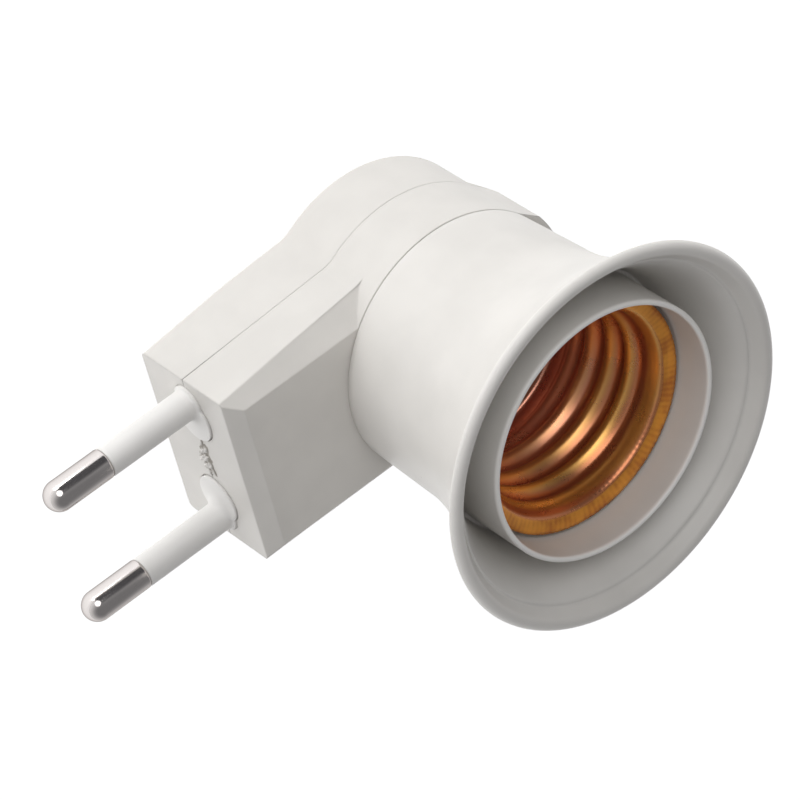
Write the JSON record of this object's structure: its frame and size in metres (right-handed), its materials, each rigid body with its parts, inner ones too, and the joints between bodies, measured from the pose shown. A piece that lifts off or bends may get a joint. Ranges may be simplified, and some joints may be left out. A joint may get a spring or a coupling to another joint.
{
  "type": "plug-in lamp holder",
  "caption": "Right-angle plug-in lamp holder: round contact pins, split plug block with rocker switch, and a flared bell around a brass lamp screw shell.",
  "frame": {"origin": "midway between the pins, on the plane of the faces of their flanges", "axes": "+Y the way the pins point, +Z along the lamp axis out of the mouth, +X across the pins"},
  "size_m": [0.0509, 0.0806, 0.0476],
  "materials": {
    "housing": "moulded light grey plastic, soft gloss",
    "bell": "moulded light grey plastic, soft gloss",
    "sleeve": "white insulating plastic",
    "rocker": "smooth white plastic",
    "pin_metal": "bright nickel plating",
    "shell_brass": "rolled brass, lightly tarnished",
    "contact_brass": "sprung brass strip",
    "rivet_metal": "plated rivets",
    "puck": "brown pressed insulating board",
    "case": "pale moulded plastic",
    "steel": "zinc-plated steel",
    "wire_live": "brown wire insulation",
    "wire_neutral": "blue wire insulation"
  },
  "bodies": {
    "holder": {"front_housing": "housing", "rear_housing": "housing", "bell_barrel": "bell", "screw_shell": "shell_brass", "contact_puck": "puck", "centre_contact": "contact_brass", "centre_rivet": "rivet_metal", "shell_rivet": "rivet_metal", "centre_tag": "contact_brass", "shell_tag": "contact_brass", "left_pin": "pin_metal", "left_sleeve": "sleeve", "left_terminal": "contact_brass", "right_pin": "pin_metal", "right_sleeve": "sleeve", "right_terminal": "contact_brass", "rocker_pin": "steel", "switch_case": "case", "switch_contact": "contact_brass", "block_screw": "steel", "left_body_screw": "steel", "right_body_screw": "steel", "live_wire": "wire_live", "switched_wire": "wire_live", "neutral_wire": "wire_neutral"},
    "rocker": {"rocker": "rocker"}
  },
  "joints": [
    {"name": "rocker_tilt", "type": "hinge", "parent": "holder", "child": "rocker", "pos_m": [0, -0.0472, 0.004], "axis": [0, 0, -1], "range_deg": [0, 14]}
  ]
}
